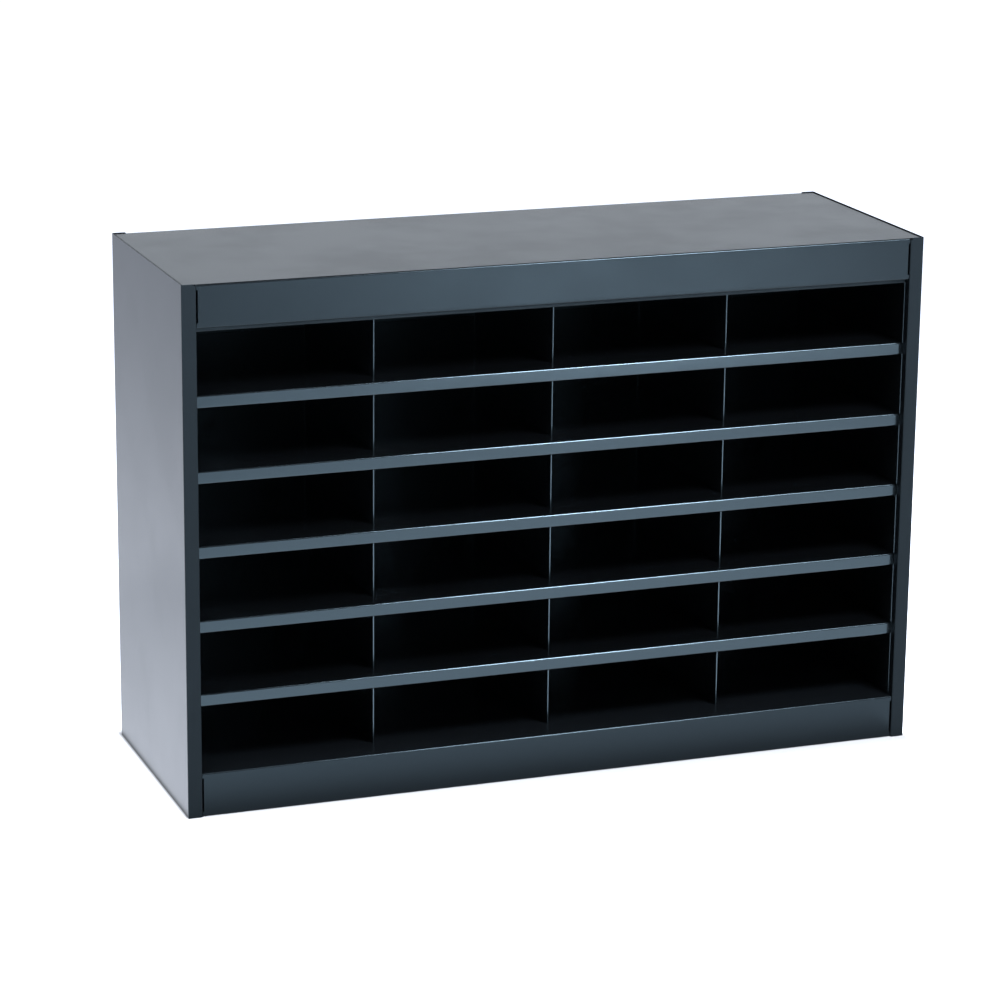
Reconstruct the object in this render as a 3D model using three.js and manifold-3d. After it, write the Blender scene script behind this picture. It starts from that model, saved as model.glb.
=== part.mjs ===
// A pigeonhole mail sorter of folded sheet steel: a double-walled case, shelves with a front lip,
// and short dividers tabbed into slots in the shelves. Millimetres, +Z up, front towards -Y,
// origin on the floor at the centre of the case.

import * as THREE from "three";
import { mergeVertices } from "three/addons/utils/BufferGeometryUtils.js";
import Module from "manifold-3d";

const wasm = await Module();
wasm.setup();

// Overall size of the case
const width = 952.5;
const depth = 323.85;
const height = 654.05;

// Sheet thicknesses and the fits between pieces
const caseSheet = 0.9;
const wallSheet = 0.75;
const shelfSheet = 0.8;
const dividerSheet = 0.7;
const backSheet = 0.6;
const insideBend = 1.4;
const seam = 0.3;

// Side panels
const flangeWidth = 17.85;
const flangeReturn = 12;
const flangeInsideBend = 0.8;
const flangeCorner = 3;
const sideRise = 1;

// Inner walls
const wallFoot = 14;
const wallRise = 10;

// Top and bottom pans
const headerDrop = 53.2;
const plinthHeight = 55;
const panSetback = 1.5;
const panReturn = 9;
const panEndDrop = 25;
const topRearDrop = 25;
const reliefWidth = 1.9;
const reliefMargin = 6.5;

// Pockets and shelves
const columnCount = 4;
const rowCount = 6;
const bottomRowHeight = 96.5;
const ceilingDrop = 43.5;
const lipSetback = 12;
const lipHeight = 15.9;
const lipReturn = 8;
const shelfRearDrop = 14;

// Hooks on the shelf ends, which pass through slots in the inner walls
const hookCount = 3;
const hookWidth = 22;
const hookInset = 36;
const hookReach = 3;

// Dividers and their tabs
const dividerSetback = 42;
const hemLength = 9;
const hemInsideBend = 0.2;
const tabWidth = 14;
const tabInset = 30;
const tabStagger = 28;
const tabShy = 0.2;

// Places that follow from the sizes above
const bendSteps = 4;
const cutReach = 5;
const frontY = -depth / 2;
const backY = depth / 2;
const skinInside = width / 2 - caseSheet;
const innerHalf = width / 2 - flangeWidth;
const backInsideY = backY - caseSheet - seam - backSheet;
const rearSeatY = backInsideY - seam;
const panFrontY = frontY + panSetback;
const bendClear = caseSheet + insideBend + seam;
const topSkinZ = height - sideRise;
const ceilingZ = height - ceilingDrop;
const firstShelfZ = plinthHeight + bottomRowHeight;
const rowPitch = (ceilingZ - firstShelfZ) / (rowCount - 1);
const columnPitch = (2 * innerHalf + dividerSheet) / columnCount;
const shelfHalf = innerHalf - seam;
const lipY = frontY + lipSetback;
const dividerFrontY = frontY + dividerSetback;
const dividerRearY = rearSeatY - shelfSheet - insideBend;
const shelfTops = Array.from({ length: rowCount }, (_, i) => firstShelfZ + i * rowPitch);
const dividerXs = Array.from({ length: columnCount - 1 }, (_, i) => (i + 1 - columnCount / 2) * columnPitch);
const hookYs = spread(lipY + hookInset, rearSeatY - hookInset, hookCount);
const lowerTabYs = [dividerFrontY + tabInset, dividerRearY - tabInset - tabStagger];
const upperTabYs = [dividerFrontY + tabInset + tabStagger, dividerRearY - tabInset];

// Evenly spaced values from first to last
function spread(first, last, count) {
  return Array.from({ length: count }, (_, i) => first + ((last - first) * i) / (count - 1));
}

// A closed geometry as a solid that can be joined and cut
function solidFrom(geometry) {
  geometry.deleteAttribute("normal");
  geometry.deleteAttribute("uv");
  const merged = mergeVertices(geometry);
  return new wasm.Manifold(new wasm.Mesh({
    numProp: 3,
    vertProperties: new Float32Array(merged.attributes.position.array),
    triVerts: new Uint32Array(merged.index.array),
  }));
}

function geometryFrom(solid) {
  const { vertProperties, triVerts } = solid.getMesh();
  const geometry = new THREE.BufferGeometry();
  geometry.setAttribute("position", new THREE.BufferAttribute(vertProperties, 3));
  geometry.setIndex(new THREE.BufferAttribute(triVerts, 1));
  const faceted = geometry.toNonIndexed();
  faceted.computeVertexNormals();
  return faceted;
}

// A box between two values on each axis, given in either order
function block([x0, x1], [y0, y1], [z0, z1]) {
  const box = new THREE.BoxGeometry(Math.abs(x1 - x0), Math.abs(y1 - y0), Math.abs(z1 - z0));
  box.translate((x0 + x1) / 2, (y0 + y1) / 2, (z0 + z1) / 2);
  return solidFrom(box);
}

// Extrusions of an outline that is drawn in the plane across the given axis
function extrude(shape, length, across, up, along, start) {
  const geometry = new THREE.ExtrudeGeometry(shape, { depth: length, bevelEnabled: false });
  geometry.applyMatrix4(new THREE.Matrix4().makeBasis(across, up, along).setPosition(start));
  return solidFrom(geometry);
}

const unitX = new THREE.Vector3(1, 0, 0);
const unitY = new THREE.Vector3(0, 1, 0);
const unitZ = new THREE.Vector3(0, 0, 1);

function alongX(shape, from, to) {
  return extrude(shape, to - from, unitY, unitZ, unitX, new THREE.Vector3(from, 0, 0));
}

function alongY(shape, from, to) {
  const towardsFront = unitY.clone().negate();
  return extrude(shape, to - from, unitX, unitZ, towardsFront, new THREE.Vector3(0, to, 0));
}

function alongZ(shape, from, to) {
  return extrude(shape, to - from, unitX, unitY, unitZ, new THREE.Vector3(0, 0, from));
}

// The outline of a folded sheet. The path runs along the middle of the sheet, and each of its
// corners becomes a bend.
function foldedSheet(path, sheet, insideRadius) {
  const points = path.map(([a, b]) => new THREE.Vector2(a, b));
  const half = sheet / 2;
  const radius = insideRadius + half;
  const left = [];
  const right = [];

  const addEnd = (point, heading) => {
    const aside = new THREE.Vector2(-heading.y, heading.x).multiplyScalar(half);
    left.push(point.clone().add(aside));
    right.push(point.clone().sub(aside));
  };

  const addBend = (point, before, after) => {
    const angle = Math.atan2(before.cross(after), before.dot(after));
    const side = Math.sign(angle);
    const start = point.clone().addScaledVector(before, -radius * Math.tan(Math.abs(angle) / 2));
    const towardsCentre = new THREE.Vector2(-before.y, before.x).multiplyScalar(side);
    const centre = start.clone().addScaledVector(towardsCentre, radius);
    for (let step = 0; step <= bendSteps; step += 1) {
      const spoke = towardsCentre.clone().negate();
      spoke.rotateAround(new THREE.Vector2(), (angle * step) / bendSteps);
      left.push(centre.clone().addScaledVector(spoke, radius - side * half));
      right.push(centre.clone().addScaledVector(spoke, radius + side * half));
    }
  };

  const headings = points.slice(1).map((point, i) => point.clone().sub(points[i]).normalize());
  addEnd(points[0], headings[0]);
  for (let i = 1; i < points.length - 1; i += 1) {
    addBend(points[i], headings[i - 1], headings[i]);
  }
  addEnd(points[points.length - 1], headings[headings.length - 1]);
  return new THREE.Shape(withoutRepeats([...left, ...right.reverse()]));
}

function withoutRepeats(points) {
  const smallest = 1e-4;
  return points.filter((point, i) => i === 0 || point.distanceTo(points[i - 1]) > smallest);
}

// A side panel: skin, front flange with its return, and rear flange. side is -1 left, 1 right.
function sidePanel(side) {
  const half = caseSheet / 2;
  const section = foldedSheet([
    [side * (innerHalf + half), frontY + flangeReturn],
    [side * (innerHalf + half), frontY + half],
    [side * (width / 2 - half), frontY + half],
    [side * (width / 2 - half), backY - half],
    [side * innerHalf, backY - half],
  ], caseSheet, flangeInsideBend);
  // The return stops under the top panel
  const returnTop = block(
    [side * (innerHalf - cutReach), side * skinInside],
    [frontY + caseSheet, frontY + flangeReturn + cutReach],
    [topSkinZ - caseSheet - seam, height + cutReach],
  );
  return alongZ(section, 0, height)
    .subtract(returnTop)
    .subtract(flangeCornerCut(side, frontY))
    .subtract(flangeCornerCut(side, backY));
}

// What is cut away to round the inner top corner of a flange
function flangeCornerCut(side, flangeY) {
  const edge = side * innerHalf;
  const shape = new THREE.Shape();
  shape.moveTo(edge, height - flangeCorner);
  shape.quadraticCurveTo(edge, height, edge + side * flangeCorner, height);
  shape.lineTo(edge + side * flangeCorner, height + cutReach);
  shape.lineTo(edge - side * cutReach, height + cutReach);
  shape.lineTo(edge - side * cutReach, height - flangeCorner);
  return alongY(shape, flangeY - caseSheet, flangeY + caseSheet);
}

// An inner wall: a shallow tray whose feet lie on the side's skin, slotted for the shelf hooks
function innerWall(side) {
  const half = wallSheet / 2;
  const footX = side * (skinInside - seam - half);
  const webX = side * (innerHalf + half);
  const fromY = frontY + flangeReturn + seam + half;
  const toY = rearSeatY - half;
  const section = foldedSheet([
    [footX, fromY + wallFoot],
    [footX, fromY],
    [webX, fromY],
    [webX, toY],
    [footX, toY],
    [footX, toY - wallFoot],
  ], wallSheet, insideBend);
  const wall = alongZ(section, plinthHeight + seam, ceilingZ + wallRise);
  const slots = shelfTops.flatMap((top) => hookYs.map((y) => block(
    [side * (innerHalf - cutReach), side * (innerHalf + wallSheet + insideBend)],
    [y - hookWidth / 2 - seam, y + hookWidth / 2 + seam],
    [top - shelfSheet - seam, top + seam],
  )));
  return slots.reduce((solid, slot) => solid.subtract(slot), wall);
}

// A pan with its face at z = 0: the front fold is the header or the kick plate, set a little
// behind the flanges, and folds at both ends stand inside the side panels
function pan({ frontDrop, rearDrop, rearReturn, endFrontY }) {
  const half = caseSheet / 2;
  const frontLine = panFrontY + half;
  const rearLine = backY - half;
  const endLine = skinInside - seam - half;
  const rearFold = rearReturn
    ? [[rearLine, half - rearDrop], [backY - panReturn, half - rearDrop]]
    : [[rearLine, -rearDrop]];
  const frontToBack = foldedSheet([
    [panFrontY + panReturn, half - frontDrop],
    [frontLine, half - frontDrop],
    [frontLine, -half],
    [rearLine, -half],
    ...rearFold,
  ], caseSheet, insideBend);
  const endToEnd = foldedSheet([
    [-endLine, -panEndDrop],
    [-endLine, -half],
    [endLine, -half],
    [endLine, -panEndDrop],
  ], caseSheet, insideBend);
  const reliefs = [-1, 1].map((side) => block(
    [side * (shelfHalf - reliefWidth), side * (shelfHalf + cutReach)],
    [panFrontY - cutReach, panFrontY + caseSheet],
    [reliefMargin - frontDrop, -reliefMargin],
  ));
  const folded = alongX(frontToBack, -shelfHalf, shelfHalf)
    .add(alongY(endToEnd, endFrontY, backY - bendClear));
  return reliefs.reduce((solid, relief) => solid.subtract(relief), folded);
}

function topPanel() {
  return pan({
    frontDrop: headerDrop - sideRise,
    rearDrop: topRearDrop,
    rearReturn: false,
    endFrontY: panFrontY + bendClear,
  });
}

function bottomPanel() {
  const tray = pan({
    frontDrop: plinthHeight,
    rearDrop: plinthHeight,
    rearReturn: true,
    endFrontY: frontY + flangeReturn + seam,
  });
  return cutTabSlots(tray, lowerTabYs);
}

// Slots through a sheet whose upper face is at z = 0, one for each tab of each divider
function cutTabSlots(sheet, tabYs) {
  const slots = dividerXs.flatMap((x) => tabYs.map((y) => block(
    [x - dividerSheet / 2 - seam, x + dividerSheet / 2 + seam],
    [y - tabWidth / 2 - seam, y + tabWidth / 2 + seam],
    [-caseSheet - shelfSheet, cutReach],
  )));
  return slots.reduce((solid, slot) => solid.subtract(slot), sheet);
}

function backPanel() {
  const half = skinInside - caseSheet - 2 * seam;
  return block(
    [-half, half],
    [backInsideY, backInsideY + backSheet],
    [plinthHeight + seam, topSkinZ - caseSheet - insideBend],
  );
}

// A shelf with its upper face at z = 0: lip with an inward return in front, fold at the rear,
// hooks at both ends and slots for the dividers above and below
function shelf(tabYs) {
  const half = shelfSheet / 2;
  const section = foldedSheet([
    [lipY + lipReturn, half - lipHeight],
    [lipY + half, half - lipHeight],
    [lipY + half, -half],
    [rearSeatY - half, -half],
    [rearSeatY - half, -shelfRearDrop],
  ], shelfSheet, insideBend);
  const hookEnd = innerHalf + hookReach;
  const hooks = hookYs.map((y) => block(
    [-hookEnd, hookEnd],
    [y - hookWidth / 2, y + hookWidth / 2],
    [-shelfSheet, 0],
  ));
  const plain = hooks.reduce((solid, hook) => solid.add(hook), alongX(section, -shelfHalf, shelfHalf));
  return cutTabSlots(plain, tabYs);
}

// A divider standing on z = 0 under a ceiling at the given height, with its sheet centred on x = 0
// and its front edge hemmed
function divider(ceiling) {
  const foot = seam;
  const head = ceiling - seam;
  const lowerEnd = tabShy - shelfSheet;
  const upperEnd = ceiling + shelfSheet - tabShy;
  const blank = new THREE.Shape();
  blank.moveTo(dividerFrontY + hemLength / 2, foot);
  for (const y of lowerTabYs) {
    addTab(blank, y - tabWidth / 2, y + tabWidth / 2, foot, lowerEnd);
  }
  blank.lineTo(dividerRearY, foot);
  blank.lineTo(dividerRearY, head);
  for (const y of upperTabYs.toReversed()) {
    addTab(blank, y + tabWidth / 2, y - tabWidth / 2, head, upperEnd);
  }
  blank.lineTo(dividerFrontY + hemLength / 2, head);
  return alongX(blank, -dividerSheet / 2, dividerSheet / 2).add(alongZ(dividerHem(), foot, head));
}

// A tab on an edge at z = edge, drawn from one side to the other
function addTab(shape, fromY, toY, edge, end) {
  shape.lineTo(fromY, edge);
  shape.lineTo(fromY, end);
  shape.lineTo(toY, end);
  shape.lineTo(toY, edge);
}

function dividerHem() {
  const half = dividerSheet / 2;
  const across = 2 * (hemInsideBend + half);
  return foldedSheet([
    [0, dividerFrontY + hemLength],
    [0, dividerFrontY + half],
    [across, dividerFrontY + half],
    [across, dividerFrontY + hemLength],
  ], dividerSheet, hemInsideBend);
}

// Semi-gloss black enamel on every piece
function enamel() {
  return new THREE.MeshStandardMaterial({ color: 0x1c1e21, roughness: 0.35, metalness: 0 });
}

const sorter = new THREE.Group();

function place(name, geometry, x, z) {
  const mesh = new THREE.Mesh(geometry, enamel());
  mesh.name = name;
  mesh.position.set(x, 0, z);
  sorter.add(mesh);
}

for (const [name, side] of [["left", -1], ["right", 1]]) {
  place(`${name}_side_panel`, geometryFrom(sidePanel(side)), 0, 0);
  place(`${name}_inner_wall`, geometryFrom(innerWall(side)), 0, 0);
}
place("top_panel", geometryFrom(topPanel()), 0, topSkinZ);
place("bottom_panel", geometryFrom(bottomPanel()), 0, plinthHeight);
place("back_panel", geometryFrom(backPanel()), 0, 0);

// Shelves are numbered from the lowest, and the last one is the ceiling behind the header
const shelfGeometry = geometryFrom(shelf([...lowerTabYs, ...upperTabYs]));
const ceilingGeometry = geometryFrom(shelf(upperTabYs));
shelfTops.forEach((top, i) => {
  const isCeiling = i === rowCount - 1;
  place(isCeiling ? "ceiling_shelf" : `shelf_${i + 1}`, isCeiling ? ceilingGeometry : shelfGeometry, 0, top);
});

// Rows of dividers are numbered from the lowest
const floors = [plinthHeight, ...shelfTops.slice(0, -1)];
floors.forEach((floor, row) => {
  const geometry = geometryFrom(divider(shelfTops[row] - shelfSheet - floor));
  dividerXs.forEach((x, column) => place(`divider_row${row + 1}_${column + 1}`, geometry, x, floor));
});

export default sorter;
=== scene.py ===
import math

import bmesh
import bpy
from mathutils import Matrix, Vector


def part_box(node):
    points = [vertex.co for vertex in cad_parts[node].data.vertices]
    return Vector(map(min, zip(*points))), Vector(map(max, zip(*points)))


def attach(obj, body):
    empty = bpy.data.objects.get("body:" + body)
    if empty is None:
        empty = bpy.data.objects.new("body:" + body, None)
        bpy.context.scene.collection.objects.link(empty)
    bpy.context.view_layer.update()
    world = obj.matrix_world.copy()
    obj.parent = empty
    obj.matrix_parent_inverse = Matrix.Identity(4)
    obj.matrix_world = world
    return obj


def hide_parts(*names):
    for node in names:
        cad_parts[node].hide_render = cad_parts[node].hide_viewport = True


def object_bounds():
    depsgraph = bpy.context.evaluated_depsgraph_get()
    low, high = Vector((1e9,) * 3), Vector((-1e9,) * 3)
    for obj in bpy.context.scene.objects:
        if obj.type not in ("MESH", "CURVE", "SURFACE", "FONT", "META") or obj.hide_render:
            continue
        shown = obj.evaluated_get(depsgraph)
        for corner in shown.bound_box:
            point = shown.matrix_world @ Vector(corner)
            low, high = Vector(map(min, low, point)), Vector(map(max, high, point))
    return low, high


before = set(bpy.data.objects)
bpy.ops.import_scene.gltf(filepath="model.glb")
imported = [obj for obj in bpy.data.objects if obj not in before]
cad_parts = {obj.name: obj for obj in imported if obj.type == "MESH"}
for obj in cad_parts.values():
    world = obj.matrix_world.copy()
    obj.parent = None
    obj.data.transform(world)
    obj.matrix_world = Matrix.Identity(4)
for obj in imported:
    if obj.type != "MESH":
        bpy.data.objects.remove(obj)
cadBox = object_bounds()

print("frame loaded:", len(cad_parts), "nodes")

# camera

cameraView = {
    "lens": 127.6,          # millimetres, on the sensor below
    "sensor": 36.0,
    "azimuth": -20.365,     # degrees, the camera stands left of the middle
    "elevation": 15.509,
    "roll": 0.605,
    "distance": 4.4693,     # metres to the target
    "target": (-0.0217, 0.0, 0.3156),
    "farthest": 60.0,
}


def makeCamera(view):
    azimuth, elevation, roll = (math.radians(view[key]) for key in ("azimuth", "elevation", "roll"))
    back = Vector((math.sin(azimuth) * math.cos(elevation),
                   -math.cos(azimuth) * math.cos(elevation),
                   math.sin(elevation)))
    right = Vector((0, 0, 1)).cross(back).normalized()
    up = back.cross(right)
    across = math.cos(roll) * right + math.sin(roll) * up
    upright = math.cos(roll) * up - math.sin(roll) * right
    lens = bpy.data.cameras.new("camera")
    lens.lens = view["lens"]
    lens.sensor_width = view["sensor"]
    lens.clip_end = view["farthest"]
    camera = bpy.data.objects.new("camera", lens)
    turn = Matrix((across, upright, back)).transposed().to_4x4()
    camera.matrix_world = Matrix.Translation(Vector(view["target"]) + back * view["distance"]) @ turn
    bpy.context.scene.collection.objects.link(camera)
    bpy.context.scene.camera = camera


makeCamera(cameraView)
print("camera placed")

# enamel finishes

noiseLooks = {
    "peel": {"detail": 1.5, "roughness": 0.5},
    "wave": {"detail": 0.0, "roughness": 0.5},
    "smudges": {"detail": 4.0, "roughness": 0.6},
    "dust": {"detail": 6.0, "roughness": 0.7},
}
smudgeRange = (0.35, 0.7)      # noise levels where a smudge begins and where it is full


def newGroup(name, inputs, outputs):
    group = bpy.data.node_groups.new(name, "ShaderNodeTree")
    for label, value in inputs.items():
        socket = group.interface.new_socket(label, in_out="INPUT", socket_type="NodeSocketFloat")
        socket.default_value = value
    for label in outputs:
        group.interface.new_socket(label, in_out="OUTPUT", socket_type="NodeSocketFloat")
    return group, group.nodes.new("NodeGroupInput"), group.nodes.new("NodeGroupOutput")


def addNode(tree, kind, **settings):
    node = tree.nodes.new(kind)
    for key, value in settings.items():
        setattr(node, key, value)
    return node


def feed(tree, socket, value):
    # a number is set, and anything else is another node's socket to link
    if isinstance(value, (int, float)):
        socket.default_value = value
    else:
        tree.links.new(value, socket)


def addMath(tree, operation, first, second):
    node = addNode(tree, "ShaderNodeMath", operation=operation)
    feed(tree, node.inputs[0], first)
    feed(tree, node.inputs[1], second)
    return node.outputs["Value"]


def addFade(tree, value, fromLow, fromHigh, toLow, toHigh):
    # a soft step from one level to another
    fade = addNode(tree, "ShaderNodeMapRange", interpolation_type="SMOOTHSTEP")
    amounts = {"Value": value, "From Min": fromLow, "From Max": fromHigh, "To Min": toLow, "To Max": toHigh}
    for label, amount in amounts.items():
        feed(tree, fade.inputs[label], amount)
    return fade.outputs["Result"]


def addNoise(tree, size, look):
    place = addNode(tree, "ShaderNodeTexCoord")
    noise = addNode(tree, "ShaderNodeTexNoise")
    noise.inputs["Detail"].default_value = look["detail"]
    noise.inputs["Roughness"].default_value = look["roughness"]
    tree.links.new(place.outputs["Object"], noise.inputs["Vector"])
    tree.links.new(addMath(tree, "DIVIDE", 1.0, size), noise.inputs["Scale"])
    return noise.outputs["Fac"]


def makeOrangePeel():
    sizes = {"Peel Size": 0.002, "Wave Size": 0.2, "Wave Share": 4.0}
    group, given, put = newGroup("orangePeel", sizes, ["Height"])
    peel = addNoise(group, given.outputs["Peel Size"], noiseLooks["peel"])
    wave = addNoise(group, given.outputs["Wave Size"], noiseLooks["wave"])
    waves = addMath(group, "MULTIPLY", wave, given.outputs["Wave Share"])
    group.links.new(addMath(group, "ADD", peel, waves), put.inputs["Height"])
    return group


def makeSmudges():
    group, given, put = newGroup("smudges", {"Size": 0.12, "Low": 0.2, "High": 0.3}, ["Roughness"])
    cloud = addNoise(group, given.outputs["Size"], noiseLooks["smudges"])
    spread = addFade(group, cloud, *smudgeRange, given.outputs["Low"], given.outputs["High"])
    group.links.new(spread, put.inputs["Roughness"])
    return group


def makeDust():
    group, given, put = newGroup("dust", {"Size": 0.03, "Amount": 0.1}, ["Mask"])
    place = addNode(group, "ShaderNodeTexCoord")
    facing = addNode(group, "ShaderNodeSeparateXYZ")
    group.links.new(place.outputs["Normal"], facing.inputs["Vector"])
    upward = addMath(group, "MAXIMUM", facing.outputs["Z"], 0.0)
    cloud = addNoise(group, given.outputs["Size"], noiseLooks["dust"])
    settled = addMath(group, "MULTIPLY", addMath(group, "MULTIPLY", cloud, upward), given.outputs["Amount"])
    group.links.new(settled, put.inputs["Mask"])
    return group


def makeRoughFront():
    # one on faces in front of the given line, none a fade behind it
    group, given, put = newGroup("roughFront", {"Front": 0.0, "Fade": 0.001}, ["Mask"])
    place = addNode(group, "ShaderNodeTexCoord")
    axes = addNode(group, "ShaderNodeSeparateXYZ")
    group.links.new(place.outputs["Object"], axes.inputs["Vector"])
    behind = addMath(group, "SUBTRACT", axes.outputs["Y"], given.outputs["Front"])
    share = addMath(group, "MAXIMUM", addMath(group, "DIVIDE", behind, given.outputs["Fade"]), 0.0)
    mask = addMath(group, "SUBTRACT", 1.0, addMath(group, "MINIMUM", share, 1.0))
    group.links.new(mask, put.inputs["Mask"])
    return group


effects = {
    "peel": makeOrangePeel(),
    "smudges": makeSmudges(),
    "dust": makeDust(),
    "roughFront": makeRoughFront(),
}

enamelLooks = {
    "case_enamel": {"colour": (0.0018, 0.0023, 0.0028), "rough": (0.22, 0.25), "sheen": 0.22, "dust": 0.003,
                    "peel": 0.00002, "roughFront": 0.6},
    "back_enamel": {"colour": (0.0018, 0.0022, 0.0026), "rough": (0.26, 0.32), "sheen": 0.3, "dust": 0.002,
                    "peel": 0.00002, "slot": "lining_enamel"},
    "lining_enamel": {"colour": (0.001, 0.0012, 0.0014), "rough": (0.2, 0.25), "sheen": 1.0, "dust": 0.001,
                      "peel": 0.000015},
    "shelf_enamel": {"colour": (0.001, 0.0012, 0.0014), "rough": (0.16, 0.2), "sheen": 0.5, "dust": 0.001,
                     "peel": 0.000015},
    "divider_enamel": {"colour": (0.0018, 0.0023, 0.0028), "rough": (0.2, 0.25), "sheen": 1.0, "dust": 0.002,
                       "peel": 0.000015},
    # on the ceiling shelf: painted shade, a rougher and less glossy copy of the shelf enamel that stands in
    # for the header's shadow over its lip
    "header_shade_enamel": {"colour": (0.0018, 0.0022, 0.0026), "rough": (0.6, 0.7), "sheen": 0.3, "dust": 0.002,
                   "peel": 0.00002, "slot": "shelf_enamel"},
}
flangeFace = {"thick": 0.0004, "fade": 0.0004}      # metres, where the rougher coat on the flanges' front faces ends
dustColour = (0.25, 0.25, 0.24, 1.0)
# painted reflection tint: a cool blue cast on every reflection of the enamel, standing in for the colour of
# the studio light
paintedCoolReflection = (0.6, 0.86, 1.0, 1.0)
enamelRefraction = 1.5


def makeEnamel(name, look):
    material = bpy.data.materials.new(name)
    material.use_nodes = True
    tree = material.node_tree
    shader = tree.nodes["Principled BSDF"]
    shader.inputs["IOR"].default_value = enamelRefraction
    shader.inputs["Specular IOR Level"].default_value = look["sheen"]
    shader.inputs["Specular Tint"].default_value = paintedCoolReflection

    def addEffect(effect, **values):
        node = addNode(tree, "ShaderNodeGroup", node_tree=effects[effect])
        for label, value in values.items():
            node.inputs[label].default_value = value
        return node

    smoothest, roughest = look["rough"]
    smudges = addEffect("smudges", Low=smoothest, High=roughest)
    roughness = smudges.outputs["Roughness"]
    # a rougher coat on the flanges' front faces, which makes them read darker
    if "roughFront" in look:
        roughened = addEffect("roughFront", Front=cadBox[0].y + flangeFace["thick"], Fade=flangeFace["fade"])
        extra = addMath(tree, "MULTIPLY", roughened.outputs["Mask"], look["roughFront"])
        roughness = addMath(tree, "ADD", roughness, extra)
    tree.links.new(roughness, shader.inputs["Roughness"])

    dust = addEffect("dust", Amount=look["dust"])
    colour = addNode(tree, "ShaderNodeMix", data_type="RGBA")
    colour.inputs["A"].default_value = (*look["colour"], 1.0)
    colour.inputs["B"].default_value = dustColour
    tree.links.new(dust.outputs["Mask"], colour.inputs["Factor"])
    tree.links.new(colour.outputs["Result"], shader.inputs["Base Color"])

    peel = addEffect("peel")
    bump = addNode(tree, "ShaderNodeBump")
    bump.inputs["Distance"].default_value = look["peel"]
    tree.links.new(peel.outputs["Height"], bump.inputs["Height"])
    tree.links.new(bump.outputs["Normal"], shader.inputs["Normal"])
    return material


enamels = {name: makeEnamel(name, look) for name, look in enamelLooks.items()}
print("enamels mixed:", ", ".join(enamels))

# folded sheet

sheetEdge = {"round": 0.00034, "steps": 3, "sharpest": math.radians(50)}
bendSteps = 8
hair = 1e-6         # metres, less than any real step
lanePlaces = 7      # decimals of a metre that tell two lanes apart


def foldLine(corners, bend):
    # middle of a folded sheet: straight runs joined by round square bends
    corners = [Vector(corner) for corner in corners]
    line = [corners[0]]
    for before, corner, after in zip(corners, corners[1:], corners[2:]):
        back = (before - corner).normalized() * bend
        ahead = (after - corner).normalized() * bend
        for step in range(bendSteps + 1):
            turn = math.pi / 2 * step / bendSteps
            line.append(corner + back + ahead - ahead * math.cos(turn) - back * math.sin(turn))
    line.append(corners[-1])
    return line


def markLine(line, axis, marks):
    # the same line with a point wherever it passes a mark
    marked = [line[0]]
    for start, end in zip(line, line[1:]):
        if (end - start).length < hair:
            continue
        least, most = sorted((start[axis], end[axis]))
        between = [mark for mark in marks if least + hair < mark < most - hair]
        for mark in sorted(between, reverse=start[axis] > end[axis]):
            marked.append(start.lerp(end, (mark - start[axis]) / (end[axis] - start[axis])))
        marked.append(end)
    return marked


def sheetGrid(name, line, lanes, place, isCut):
    # a surface of one quad for each step of the line and the lanes, open where isCut says so
    shape = bmesh.new()
    corners = {}

    def corner(i, j):
        if (i, j) not in corners:
            corners[i, j] = shape.verts.new(place(line[i], lanes[j]))
        return corners[i, j]

    for i in range(len(line) - 1):
        for j in range(len(lanes) - 1):
            if not isCut((line[i] + line[i + 1]) / 2, (lanes[j] + lanes[j + 1]) / 2):
                shape.faces.new((corner(i, j), corner(i + 1, j), corner(i + 1, j + 1), corner(i, j + 1)))
    bmesh.ops.remove_doubles(shape, verts=shape.verts, dist=hair)
    bmesh.ops.recalc_face_normals(shape, faces=shape.faces)
    mesh = bpy.data.meshes.new(name)
    shape.to_mesh(mesh)
    shape.free()
    piece = bpy.data.objects.new(name, mesh)
    bpy.context.scene.collection.objects.link(piece)
    return piece


def flatLanes(values):
    return [Vector((value, 0.0)) for value in sorted({round(value, lanePlaces) for value in values})]


def standUpright(point, lane):
    # for a line drawn in plan, with heights as lanes
    return Vector((point.x, point.y, lane.x))


def settle(piece):
    # the modified shape becomes the piece's own mesh
    shown = piece.evaluated_get(bpy.context.evaluated_depsgraph_get())
    mesh = bpy.data.meshes.new_from_object(shown)
    piece.modifiers.clear()
    piece.data = mesh
    mesh.name = piece.name


def thicken(piece, sheet, edge=sheetEdge["round"]):
    solid = piece.modifiers.new("thickness", "SOLIDIFY")
    solid.thickness = sheet
    solid.offset = 0.0
    solid.use_even_offset = True
    if edge:
        rounded = piece.modifiers.new("edges", "BEVEL")
        rounded.width = edge
        rounded.segments = sheetEdge["steps"]
        rounded.limit_method = "ANGLE"
        rounded.angle_limit = sheetEdge["sharpest"]


def smooth(piece):
    for face in piece.data.polygons:
        face.use_smooth = True
    weighted = piece.modifiers.new("normals", "WEIGHTED_NORMAL")
    weighted.keep_sharp = True


def dress(piece, enamel, *nodes):
    piece.data.materials.clear()
    piece.data.materials.append(enamels[enamel])
    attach(piece, "root")
    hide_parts(*nodes)


def formSheet(piece, sheet, enamel, *nodes):
    thicken(piece, sheet)
    settle(piece)
    smooth(piece)
    settle(piece)
    dress(piece, enamel, *nodes)


# case sizes that the pieces share, in metres, most of them from the frame

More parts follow.
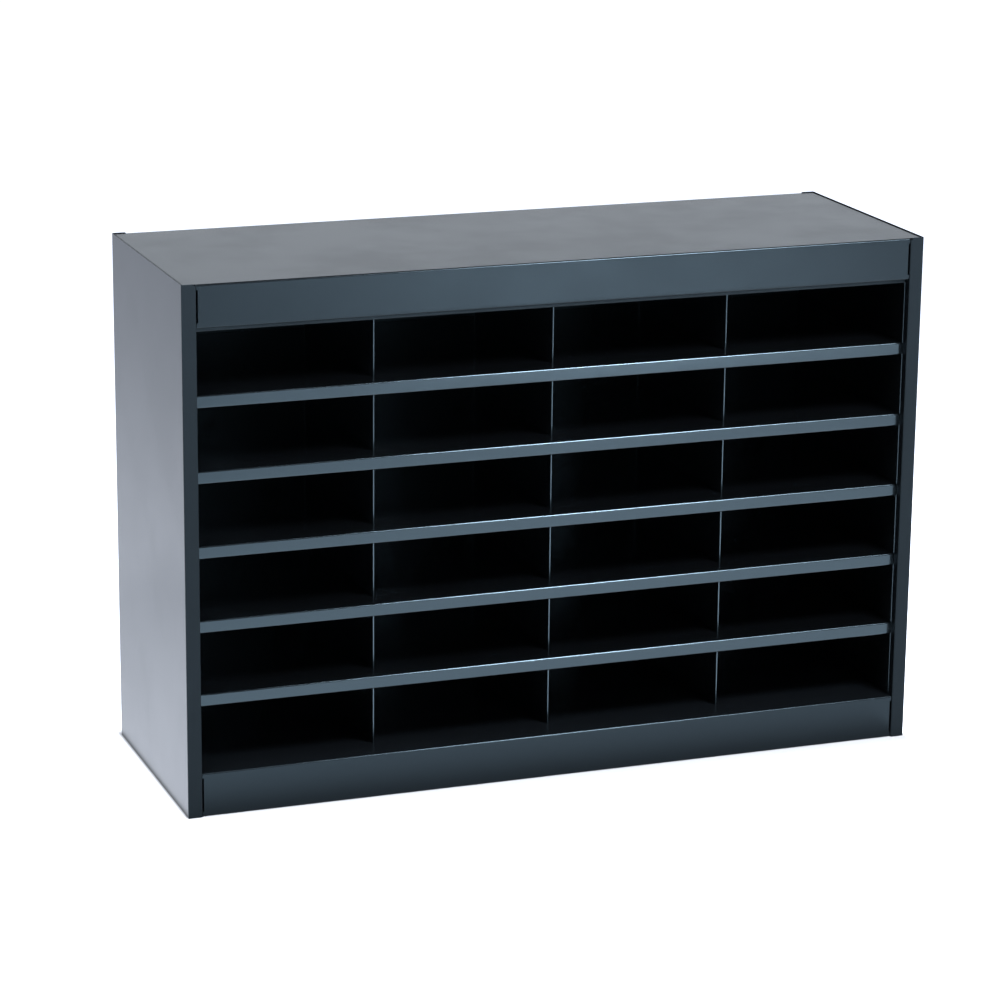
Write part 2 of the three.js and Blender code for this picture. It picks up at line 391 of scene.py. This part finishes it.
low, high = cadBox
frontY, backY, topZ = low.y, high.y, high.z
shelfLow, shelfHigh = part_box("shelf_1")
wallLow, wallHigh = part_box("right_inner_wall")
rearSeatY = shelfHigh.y
innerHalf = wallLow.x
caseSheet = 0.0009
insideBend = 0.0014
seam = 0.0003
shelfHalf = innerHalf - seam
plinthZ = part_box("bottom_panel")[1].z
rowCount = 6
shelfNames = [f"shelf_{number}" for number in range(1, rowCount)] + ["ceiling_shelf"]
shelfTops = [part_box(name)[1].z for name in shelfNames]

# side panels

sidePanel = {"return": 0.012, "insideBend": 0.0008, "notch": 0.0025, "corner": 0.0015, "cornerSteps": 2,
             "cornerRoom": 0.006}


def makeSidePanel(label, side):
    half = caseSheet / 2
    outside = high.x - half
    notch = innerHalf + sidePanel["notch"]
    line = foldLine([
        (innerHalf + half, frontY + sidePanel["return"]),
        (innerHalf + half, frontY + half),
        (outside, frontY + half),
        (outside, backY - half),
        (innerHalf, backY - half),
    ], sidePanel["insideBend"] + half)
    room = sidePanel["cornerRoom"]
    line = markLine(line, 0, [notch, innerHalf + room, outside - room])
    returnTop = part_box("top_panel")[1].z - caseSheet - seam
    corner, steps = sidePanel["corner"], sidePanel["cornerSteps"]
    turns = [math.pi / 2 * step / steps for step in range(steps + 1)]
    lanes = flatLanes([0.0, returnTop, *(topZ - corner * (1 - math.sin(turn)) for turn in turns)])

    def isCut(point, lane):
        # the return and its bend stop under the top panel
        return lane.x > returnTop and point.y < 0 and point.x < notch

    def place(point, lane):
        # the free edges of both flanges run out in a round corner
        x = point.x
        rise = min(1.0, (lane.x - topZ) / corner + 1)
        if rise > hair:
            edge = notch if point.y < 0 else innerHalf
            x = max(x, edge + corner * (1 - math.sqrt(1 - rise * rise)))
        return Vector((side * x, point.y, lane.x))

    piece = sheetGrid(f"{label}SidePanel", line, lanes, place, isCut)
    formSheet(piece, caseSheet, "case_enamel", f"{label}_side_panel")


for label, side in (("left", -1), ("right", 1)):
    makeSidePanel(label, side)
print("side panels folded")

# inner walls and back

innerWall = {"sheet": 0.00075, "foot": 0.014}
hook = {"count": 3, "width": 0.022, "inset": 0.036}
shelf = {"sheet": 0.0008, "lipReturn": 0.008, "rearDrop": 0.014}      # the walls' slots take its hooks
hookYs = [shelfLow.y + hook["inset"]
          + (rearSeatY - shelfLow.y - 2 * hook["inset"]) * number / (hook["count"] - 1)
          for number in range(hook["count"])]


def inSlot(value, middles, width):
    return any(abs(value - middle) < width / 2 for middle in middles)


def slotEdges(middles, width):
    return [middle + side * width / 2 for middle in middles for side in (-1, 1)]


def makeInnerWall(label, side):
    half = innerWall["sheet"] / 2
    footX, webX = wallHigh.x - half, wallLow.x + half
    fromY, toY = wallLow.y + half, wallHigh.y - half
    slotWidth = hook["width"] + 2 * seam
    slotHeight = shelf["sheet"] + 2 * seam
    slotMiddles = [top - shelf["sheet"] / 2 for top in shelfTops]
    line = foldLine([
        (footX, fromY + innerWall["foot"]),
        (footX, fromY),
        (webX, fromY),
        (webX, toY),
        (footX, toY),
        (footX, toY - innerWall["foot"]),
    ], insideBend + half)
    line = markLine(line, 1, slotEdges(hookYs, slotWidth))
    lanes = flatLanes([wallLow.z, wallHigh.z, *slotEdges(slotMiddles, slotHeight)])

    def isCut(point, lane):
        inWeb = point.x < webX + half
        return inWeb and inSlot(point.y, hookYs, slotWidth) and inSlot(lane.x, slotMiddles, slotHeight)

    def place(point, lane):
        return Vector((side * point.x, point.y, lane.x))

    piece = sheetGrid(f"{label}InnerWall", line, lanes, place, isCut)
    formSheet(piece, innerWall["sheet"], "lining_enamel", f"{label}_inner_wall")


def makeBack():
    backLow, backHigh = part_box("back_panel")
    middleY = (backLow.y + backHigh.y) / 2
    line = [Vector((backLow.x, middleY)), Vector((backHigh.x, middleY))]
    lanes = flatLanes([backLow.z, backHigh.z])

    def isCut(point, lane):
        return False

    piece = sheetGrid("backPanel", line, lanes, standUpright, isCut)
    formSheet(piece, backHigh.y - backLow.y, "back_enamel", "back_panel")


for label, side in (("left", -1), ("right", 1)):
    makeInnerWall(label, side)
makeBack()
print("inner walls and back folded")

# dividers, one row at a time

divider = {"sheet": 0.0007, "hem": 0.009, "hemBend": 0.0002, "tabWidth": 0.014, "tabInset": 0.03,
           "tabStagger": 0.028}
dividerLow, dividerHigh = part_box("divider_row1_2")
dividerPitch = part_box("divider_row1_3")[0].x - dividerLow.x
dividerXs = [-dividerPitch, 0.0, dividerPitch]
tabSlotLength = divider["tabWidth"] + 2 * seam
tabSlotWidth = divider["sheet"] + 2 * seam
lowerTabYs = [dividerLow.y + divider["tabInset"],
              dividerHigh.y - divider["tabInset"] - divider["tabStagger"]]
upperTabYs = [dividerLow.y + divider["tabInset"] + divider["tabStagger"],
              dividerHigh.y - divider["tabInset"]]


def makeRowTree():
    tree = bpy.data.node_groups.new("dividerRow", "GeometryNodeTree")
    tree.interface.new_socket("Divider", in_out="INPUT", socket_type="NodeSocketGeometry")
    tree.interface.new_socket("Count", in_out="INPUT", socket_type="NodeSocketInt")
    tree.interface.new_socket("First", in_out="INPUT", socket_type="NodeSocketVector")
    tree.interface.new_socket("Step", in_out="INPUT", socket_type="NodeSocketVector")
    tree.interface.new_socket("Enamel", in_out="INPUT", socket_type="NodeSocketMaterial")
    tree.interface.new_socket("Row", in_out="OUTPUT", socket_type="NodeSocketGeometry")
    given, put = tree.nodes.new("NodeGroupInput"), tree.nodes.new("NodeGroupOutput")
    points = tree.nodes.new("GeometryNodeMeshLine")
    stand = tree.nodes.new("GeometryNodeInstanceOnPoints")
    real = tree.nodes.new("GeometryNodeRealizeInstances")
    paint = tree.nodes.new("GeometryNodeSetMaterial")
    for source, target in (
        (given.outputs["Count"], points.inputs["Count"]),
        (given.outputs["First"], points.inputs["Start Location"]),
        (given.outputs["Step"], points.inputs["Offset"]),
        (points.outputs["Mesh"], stand.inputs["Points"]),
        (given.outputs["Divider"], stand.inputs["Instance"]),
        (stand.outputs["Instances"], real.inputs["Geometry"]),
        (real.outputs["Geometry"], paint.inputs["Geometry"]),
        (given.outputs["Enamel"], paint.inputs["Material"]),
        (paint.outputs["Geometry"], put.inputs["Row"]),
    ):
        tree.links.new(source, target)
    return tree


rowTree = makeRowTree()


def setInputs(modifier, values):
    names = {item.name: item.identifier for item in modifier.node_group.interface.items_tree}
    for label, value in values.items():
        modifier[names[label]] = value


def makeDividerRow(row):
    nodes = [f"divider_row{row}_{number}" for number in range(1, len(dividerXs) + 1)]
    nodeLow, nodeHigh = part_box(nodes[1])
    half = divider["sheet"] / 2
    hemBend = divider["hemBend"] + half
    front = nodeLow.y + half
    line = foldLine([
        (2 * hemBend, nodeLow.y + divider["hem"]),
        (2 * hemBend, front),
        (0.0, front),
        (0.0, nodeHigh.y),
    ], hemBend)
    line = markLine(line, 1, slotEdges(lowerTabYs + upperTabYs, divider["tabWidth"]))
    floor = plinthZ if row == 1 else shelfTops[row - 2]
    foot, head = floor + seam, shelfTops[row - 1] - shelf["sheet"] - seam
    lanes = flatLanes([nodeLow.z, foot, head, nodeHigh.z])

    def isCut(point, lane):
        if lane.x < foot:
            return not inSlot(point.y, lowerTabYs, divider["tabWidth"])
        return lane.x > head and not inSlot(point.y, upperTabYs, divider["tabWidth"])

    piece = sheetGrid(f"dividersRow{row}", line, lanes, standUpright, isCut)
    thicken(piece, divider["sheet"], edge=0)
    settle(piece)
    copies = piece.modifiers.new("copies", "NODES")
    copies.node_group = rowTree
    setInputs(copies, {
        "Count": len(nodes),
        "First": (dividerXs[0], 0.0, 0.0),
        "Step": (dividerPitch, 0.0, 0.0),
        "Enamel": enamels["divider_enamel"],
    })
    settle(piece)
    smooth(piece)
    settle(piece)
    dress(piece, "divider_enamel", *nodes)


for row in range(1, rowCount + 1):
    makeDividerRow(row)
print("dividers set in six rows")

# shelves


def inTabSlot(point, lane, tabYs):
    return inSlot(point.x, tabYs, tabSlotLength) and inSlot(lane.x, dividerXs, tabSlotWidth)


def makeShelf(name, node):
    nodeLow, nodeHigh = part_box(node)
    half = shelf["sheet"] / 2
    tabYs = upperTabYs if node == "ceiling_shelf" else lowerTabYs + upperTabYs
    line = foldLine([
        (nodeLow.y + shelf["lipReturn"], nodeLow.z + half),
        (nodeLow.y + half, nodeLow.z + half),
        (nodeLow.y + half, nodeHigh.z - half),
        (nodeHigh.y - half, nodeHigh.z - half),
        (nodeHigh.y - half, nodeHigh.z - shelf["rearDrop"]),
    ], insideBend + half)
    line = markLine(line, 0, slotEdges(hookYs, hook["width"]) + slotEdges(tabYs, tabSlotLength))
    lanes = flatLanes([-nodeHigh.x, -shelfHalf, shelfHalf, nodeHigh.x, *slotEdges(dividerXs, tabSlotWidth)])

    def isCut(point, lane):
        onTop = point.y > nodeHigh.z - shelf["sheet"]
        if abs(lane.x) > shelfHalf:
            return not (onTop and inSlot(point.x, hookYs, hook["width"]))
        return onTop and inTabSlot(point, lane, tabYs)

    def place(point, lane):
        return Vector((lane.x, point.x, point.y))

    # painted shade: the ceiling shelf takes the darker copy of the shelf enamel, for the header's shadow
    enamel = "header_shade_enamel" if node == "ceiling_shelf" else "shelf_enamel"
    formSheet(sheetGrid(name, line, lanes, place, isCut), shelf["sheet"], enamel, node)


for number, node in enumerate(shelfNames, 1):
    makeShelf("ceilingShelf" if node == "ceiling_shelf" else f"shelf{number}", node)
print("shelves folded")

# top and bottom pans

pan = {"return": 0.009, "endDrop": 0.025, "rearDrop": 0.025, "reliefWidth": 0.0019, "reliefMargin": 0.0065}
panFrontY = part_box("top_panel")[0].y


def makePan(name, node, rearReturn, endFrontY, tabYs):
    nodeLow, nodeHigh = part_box(node)
    half = caseSheet / 2
    skin = nodeHigh.z - half
    bend = insideBend + half
    rearFold = ([(backY - half, nodeLow.z + half), (backY - pan["return"], nodeLow.z + half)] if rearReturn
                else [(backY - half, nodeHigh.z - pan["rearDrop"])])
    endBackY = backY - caseSheet - insideBend - seam
    reliefLow, reliefHigh = nodeLow.z + pan["reliefMargin"], nodeHigh.z - pan["reliefMargin"]
    line = foldLine([
        (panFrontY + pan["return"], nodeLow.z + half),
        (panFrontY + half, nodeLow.z + half),
        (panFrontY + half, skin),
        (backY - half, skin),
        *rearFold,
    ], bend)
    line = markLine(line, 0, [endFrontY, endBackY, *slotEdges(tabYs, tabSlotLength)])
    line = markLine(line, 1, [reliefLow, reliefHigh])
    endX = nodeHigh.x - half
    endLine = foldLine([(shelfHalf, 0.0), (endX, 0.0), (endX, half - pan["endDrop"])], bend)
    reliefX = shelfHalf - pan["reliefWidth"]
    middle = flatLanes([-reliefX, *slotEdges(dividerXs, tabSlotWidth), reliefX])
    lanes = [Vector((-point.x, point.y)) for point in reversed(endLine)] + middle + endLine

    def isCut(point, lane):
        onSkin = point.y > nodeHigh.z - caseSheet
        if abs(lane.x) > shelfHalf:
            return not (onSkin and endFrontY < point.x < endBackY)
        inRelief = point.x < panFrontY + caseSheet and reliefLow < point.y < reliefHigh
        if inRelief and abs(lane.x) > reliefX:
            return True
        return onSkin and inTabSlot(point, lane, tabYs)

    def place(point, lane):
        return Vector((lane.x, point.x, point.y + lane.y))

    formSheet(sheetGrid(name, line, lanes, place, isCut), caseSheet, "case_enamel", node)


makePan("topPanel", "top_panel", False, panFrontY + caseSheet + insideBend + seam, [])
makePan("bottomPanel", "bottom_panel", True, frontY + sidePanel["return"] + seam, lowerTabYs)
print("top and bottom pans folded")

# floor and light

floorLook = {
    "size": 40.0,
    "colour": (0.82, 0.82, 0.82),
    "roughness": 0.9,
    "glow": 1.02,
    "glowColour": (0.95, 1.03, 1.2),
    "shade": {"beside": 0.008, "before": 0.14, "behind": 0.03},     # metres over which the glow comes up
    "footShadowShare": 0.45,      # painted contact shadow: share of the paper's brightness right at the foot of the case
    # less glow where the boxes light the paper, and some of it back beyond
    "frontDip": {"from": -0.2, "to": -0.6, "share": 0.7},
    "frontRise": {"from": -2.6, "to": -4.0, "share": 0.3},
    "leftDip": {"from": -0.7, "to": -1.25, "share": 0.7},
    "leftRise": {"from": -1.9, "to": -3.0, "share": 0.3},
}
studio = {
    "sky": {"colour": (0.9, 0.97, 1.06), "low": 1.18, "high": 0.03, "from": 0.25, "to": 0.32},
    "boxColour": (0.92, 0.95, 1.04),
    "boxes": {
        "frontBox": {"place": (0.75, -1.9, 1.3), "aim": (0.75, -1.9, 0.0), "size": (0.8, 0.6),
                     "power": 11.0},
        "headerBox": {"place": (1.25, -3.3, 0.6), "aim": (1.25, -3.3, 0.0), "size": (0.4, 0.4),
                      "power": 112.0},
        "lipBox": {"place": (0.74, -1.25, 1.87), "aim": (0.0, -0.15, 0.35), "size": (0.5, 0.5),
                   "power": 98.0},
        "lipEndBox": {"place": (1.17, -1.25, 1.87), "aim": (0.43, -0.15, 0.35), "size": (0.4, 0.5),
                      "power": 24.0},
        "leftBox": {"place": (-0.95, -0.35, 1.1), "aim": (-0.62, -0.15, 0.0), "size": (0.7, 0.7),
                    "power": 30.0},
    },
}


def makeFloorPaper(look):
    # white paper, lit from under except beneath the case, with a painted contact shadow darkening its colour
    # at the case's foot
    paper = bpy.data.materials.new("floorPaper")
    paper.use_nodes = True
    tree = paper.node_tree
    shader = tree.nodes["Principled BSDF"]
    shader.inputs["Roughness"].default_value = look["roughness"]
    shader.inputs["Specular IOR Level"].default_value = 0.0
    shader.inputs["Emission Color"].default_value = (*look["glowColour"], 1.0)
    place = addNode(tree, "ShaderNodeTexCoord")
    axes = addNode(tree, "ShaderNodeSeparateXYZ")
    tree.links.new(place.outputs["Object"], axes.inputs["Vector"])
    acrossX, alongY = axes.outputs["X"], axes.outputs["Y"]

    # how far out of the case, in shares of the shade on that side
    shade = look["shade"]
    beside = addMath(tree, "SUBTRACT", addMath(tree, "ABSOLUTE", acrossX, 0.0), high.x)
    before = addMath(tree, "SUBTRACT", low.y, alongY)
    behind = addMath(tree, "SUBTRACT", alongY, high.y)
    shares = [addMath(tree, "MAXIMUM", addMath(tree, "DIVIDE", distance, shade[key]), 0.0)
              for key, distance in (("beside", beside), ("before", before), ("behind", behind))]
    squares = [addMath(tree, "MULTIPLY", share, share) for share in shares]
    away = addMath(tree, "SQRT", addMath(tree, "ADD", addMath(tree, "ADD", *squares[:2]), squares[2]), 0.0)
    clear = addFade(tree, away, 0.0, 1.0, 0.0, 1.0)

    def dipAndRise(distance, dip, rise):
        return addMath(tree, "ADD", addFade(tree, distance, dip["to"], dip["from"], dip["share"], 1.0),
                       addFade(tree, distance, rise["to"], rise["from"], rise["share"], 0.0))

    ahead = dipAndRise(alongY, look["frontDip"], look["frontRise"])
    aside = dipAndRise(acrossX, look["leftDip"], look["leftRise"])
    glow = addMath(tree, "MULTIPLY", addMath(tree, "MINIMUM", ahead, aside), look["glow"])
    tree.links.new(addMath(tree, "MULTIPLY", glow, clear), shader.inputs["Emission Strength"])

    # painted contact shadow: the paper's colour darkens towards the foot of the case
    paint = addNode(tree, "ShaderNodeMix", data_type="RGBA")
    paint.inputs["A"].default_value = (*(value * look["footShadowShare"] for value in look["colour"]), 1.0)
    paint.inputs["B"].default_value = (*look["colour"], 1.0)
    tree.links.new(clear, paint.inputs["Factor"])
    tree.links.new(paint.outputs["Result"], shader.inputs["Base Color"])
    return paper


def makeFloor(look):
    half = look["size"] / 2
    corners = [(-half, -half, 0), (half, -half, 0), (half, half, 0), (-half, half, 0)]
    mesh = bpy.data.meshes.new("floor")
    mesh.from_pydata(corners, [], [(0, 1, 2, 3)])
    mesh.materials.append(makeFloorPaper(look))
    floor = bpy.data.objects.new("floor", mesh)
    bpy.context.scene.collection.objects.link(floor)


def makeSoftbox(name, look, colour):
    light = bpy.data.lights.new(name, "AREA")
    light.shape = "RECTANGLE"
    light.size, light.size_y = look["size"]
    light.energy = look["power"]
    light.color = colour
    lamp = bpy.data.objects.new(name, light)
    lamp.location = look["place"]
    aim = Vector(look["aim"]) - Vector(look["place"])
    lamp.rotation_euler = aim.to_track_quat("-Z", "Y").to_euler()
    lamp.visible_camera = False
    bpy.context.scene.collection.objects.link(lamp)


def makeWorld(look):
    # a pale band round the horizon under a darker ceiling
    world = bpy.data.worlds.new("studio")
    world.use_nodes = True
    tree = world.node_tree
    sky = tree.nodes["Background"]
    sky.inputs["Color"].default_value = (*look["colour"], 1.0)
    place = addNode(tree, "ShaderNodeTexCoord")
    axes = addNode(tree, "ShaderNodeSeparateXYZ")
    tree.links.new(place.outputs["Generated"], axes.inputs["Vector"])
    strength = addFade(tree, axes.outputs["Z"], look["from"], look["to"], look["low"], look["high"])
    tree.links.new(strength, sky.inputs["Strength"])
    bpy.context.scene.world = world


makeFloor(floorLook)
makeWorld(studio["sky"])
for name, look in studio["boxes"].items():
    makeSoftbox(name, look, studio["boxColour"])
bpy.context.scene.view_settings.view_transform = "Standard"
print("studio lit")
